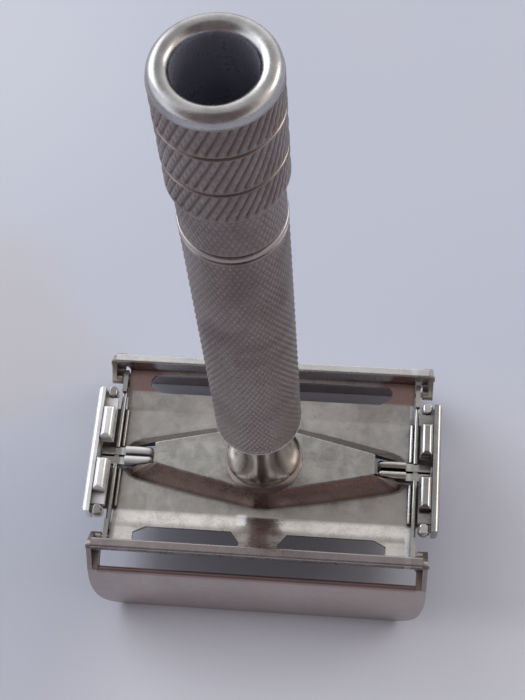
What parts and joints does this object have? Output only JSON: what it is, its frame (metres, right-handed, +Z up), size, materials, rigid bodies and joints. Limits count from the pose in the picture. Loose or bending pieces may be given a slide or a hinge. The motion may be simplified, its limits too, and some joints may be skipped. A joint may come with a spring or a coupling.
{
  "type": "safety razor",
  "caption": "Twist-to-open double-edge safety razor in worn nickel plate: knurled tube handle, hollow turning knob, guard-bar head with butterfly doors.",
  "frame": {"origin": "on the handle's axis, on the surface that the free edges of the two open doors stand on", "axes": "+Z up the handle towards the knob, +X along the head towards the right end cap, +Y towards the rear door"},
  "size_m": [0.0444, 0.033, 0.0921],
  "materials": {
    "plated_sheet": "worn nickel plate, satin with tarnish specks",
    "plated_polished": "polished nickel plate",
    "plated_knurled": "knurled nickel plate, worn",
    "plated_door": "worn nickel plate, satin",
    "plated_link": "nickel plate, bright on the rounded lugs",
    "brass_bare": "bare turned brass",
    "steel_rod": "bright drawn steel",
    "steel_pin": "bright steel"
  },
  "bodies": {
    "frame": {"guard_plate": "plated_sheet", "end_cap_left": "plated_polished", "end_cap_right": "plated_polished", "end_cap_rivets": "plated_polished", "door_hinge_pins": "steel_pin", "neck": "plated_polished", "neck_nut": "brass_bare", "neck_ferrule": "brass_bare", "handle_tube": "plated_knurled", "spindle_bush": "brass_bare"},
    "front_door": {"front_door": "plated_door", "front_door_crank_pins": "steel_pin"},
    "rear_door": {"rear_door": "plated_door", "rear_door_crank_pins": "steel_pin"},
    "drawbar": {"crosshead": "plated_link", "drawbar_rod": "steel_rod", "rod_washer": "steel_pin"},
    "knob": {"knob": "plated_knurled", "knob_collar": "plated_polished", "screw_sleeve": "brass_bare", "spring_washer": "steel_pin", "thrust_washer": "steel_pin", "retaining_ring": "steel_pin"}
  },
  "joints": [
    {"name": "knob_turn", "type": "hinge", "parent": "frame", "child": "knob", "pos_m": [0, 0, 0.07395], "axis": [0, 0, -1], "range_deg": [0, 540.1]},
    {"name": "drawbar_slide", "type": "slide", "parent": "frame", "child": "drawbar", "axis": [0, 0, 1], "range_m": [0, 0.00301]},
    {"name": "front_door_swing", "type": "hinge", "parent": "frame", "child": "front_door", "pos_m": [0, -0.01265, 0.01225], "axis": [1, 0, 0], "range_deg": [0, 84.05]},
    {"name": "rear_door_swing", "type": "hinge", "parent": "frame", "child": "rear_door", "pos_m": [0, 0.01265, 0.01225], "axis": [-1, 0, 0], "range_deg": [0, 84.05]}
  ],
  "couplings": [
    {"joint": "knob_turn", "follows": "drawbar_slide", "rad_per_m": 3130},
    {"joint": "front_door_swing", "follows": "drawbar_slide", "rad_per_m": 486.89},
    {"joint": "rear_door_swing", "follows": "drawbar_slide", "rad_per_m": 486.89}
  ]
}
